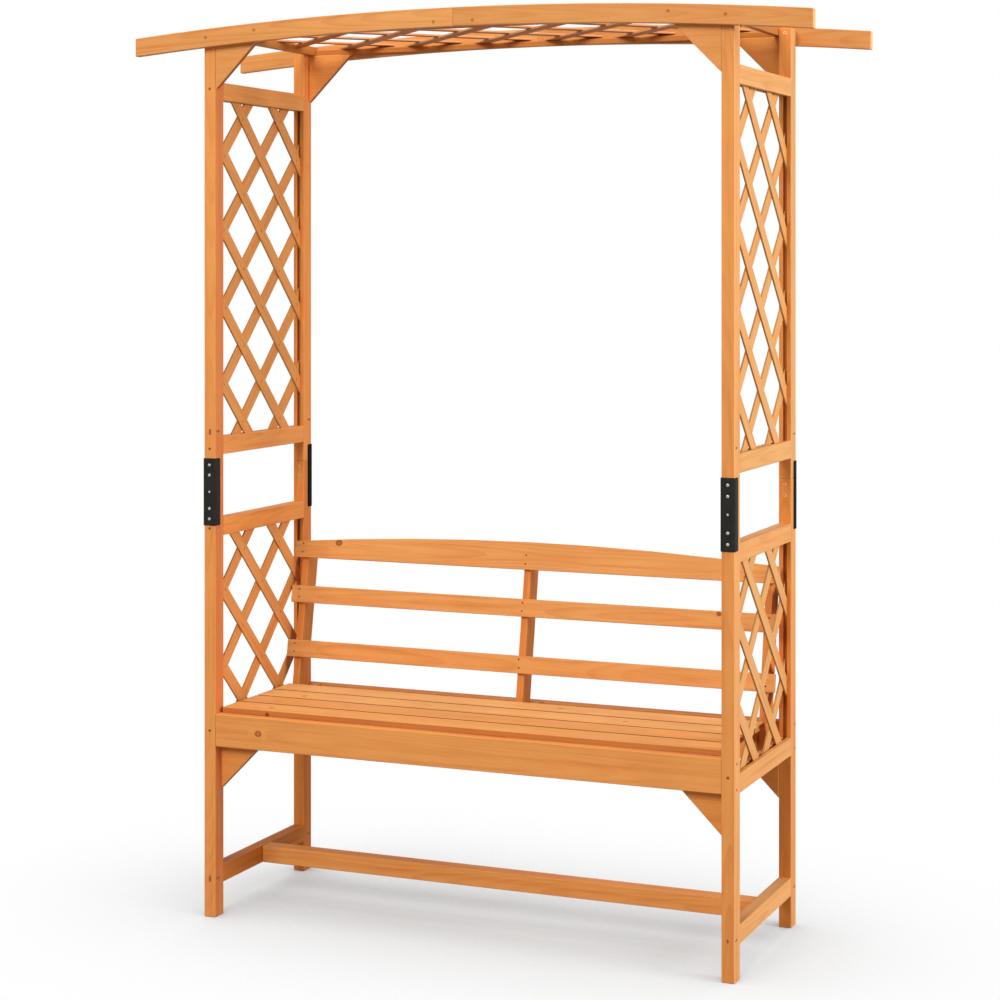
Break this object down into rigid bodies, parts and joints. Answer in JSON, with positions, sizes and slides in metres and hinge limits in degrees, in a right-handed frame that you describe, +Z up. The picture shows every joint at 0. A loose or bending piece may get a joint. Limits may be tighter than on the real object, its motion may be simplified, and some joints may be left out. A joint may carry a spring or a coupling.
{
  "type": "garden arbor bench",
  "caption": "Garden arbor bench: slatted seat and leaning back between lattice sides, under a lattice roof carried by gently arched beams on spliced posts.",
  "frame": {"origin": "on the ground under the middle of the bench", "axes": "+Z up, +X to the right and +Y to the back, seen from the front"},
  "size_m": [1.591, 0.5016, 2.03],
  "materials": {
    "stained_wood": "honey-brown stained softwood, satin",
    "lattice_wood": "thin stained softwood slats, slightly redder than the boards",
    "coated_steel": "black coated steel, satin"
  },
  "bodies": {
    "root": {"back_slat_lower": "stained_wood", "back_slat_middle": "stained_wood", "back_slat_top": "stained_wood", "back_support_centre": "stained_wood", "back_support_left": "stained_wood", "back_support_right": "stained_wood", "beam_back_left": "stained_wood", "beam_back_right": "stained_wood", "beam_front_left": "stained_wood", "beam_front_right": "stained_wood", "long_stretcher": "stained_wood", "post_lower_back_left": "stained_wood", "post_lower_back_right": "stained_wood", "post_lower_front_left": "stained_wood", "post_lower_front_right": "stained_wood", "post_upper_back_left": "stained_wood", "post_upper_back_right": "stained_wood", "post_upper_front_left": "stained_wood", "post_upper_front_right": "stained_wood", "roof_end_board_left": "stained_wood", "roof_end_board_right": "stained_wood", "roof_lattice": "lattice_wood", "roof_ledger_back": "stained_wood", "roof_ledger_front": "stained_wood", "seat_apron_back": "stained_wood", "seat_apron_front": "stained_wood", "seat_bearer_centre": "stained_wood", "seat_bearer_left": "stained_wood", "seat_bearer_right": "stained_wood", "seat_gusset_back_left": "stained_wood", "seat_gusset_back_right": "stained_wood", "seat_gusset_front_left": "stained_wood", "seat_gusset_front_right": "stained_wood", "seat_slat_1": "stained_wood", "seat_slat_2": "stained_wood", "seat_slat_3": "stained_wood", "seat_slat_4": "stained_wood", "side_lattice_lower_left": "lattice_wood", "side_lattice_lower_right": "lattice_wood", "side_lattice_upper_left": "lattice_wood", "side_lattice_upper_right": "lattice_wood", "side_rail_arm_left": "stained_wood", "side_rail_arm_right": "stained_wood", "side_rail_seat_left": "stained_wood", "side_rail_seat_right": "stained_wood", "side_rail_top_left": "stained_wood", "side_rail_top_right": "stained_wood", "side_rail_window_left": "stained_wood", "side_rail_window_right": "stained_wood", "side_stretcher_left": "stained_wood", "side_stretcher_right": "stained_wood", "splice_bracket_back_left": "coated_steel", "splice_bracket_back_right": "coated_steel", "splice_bracket_front_left": "coated_steel", "splice_bracket_front_right": "coated_steel", "top_gusset_back_left": "stained_wood", "top_gusset_back_right": "stained_wood", "top_gusset_front_left": "stained_wood", "top_gusset_front_right": "stained_wood"}
  },
  "joints": []
}
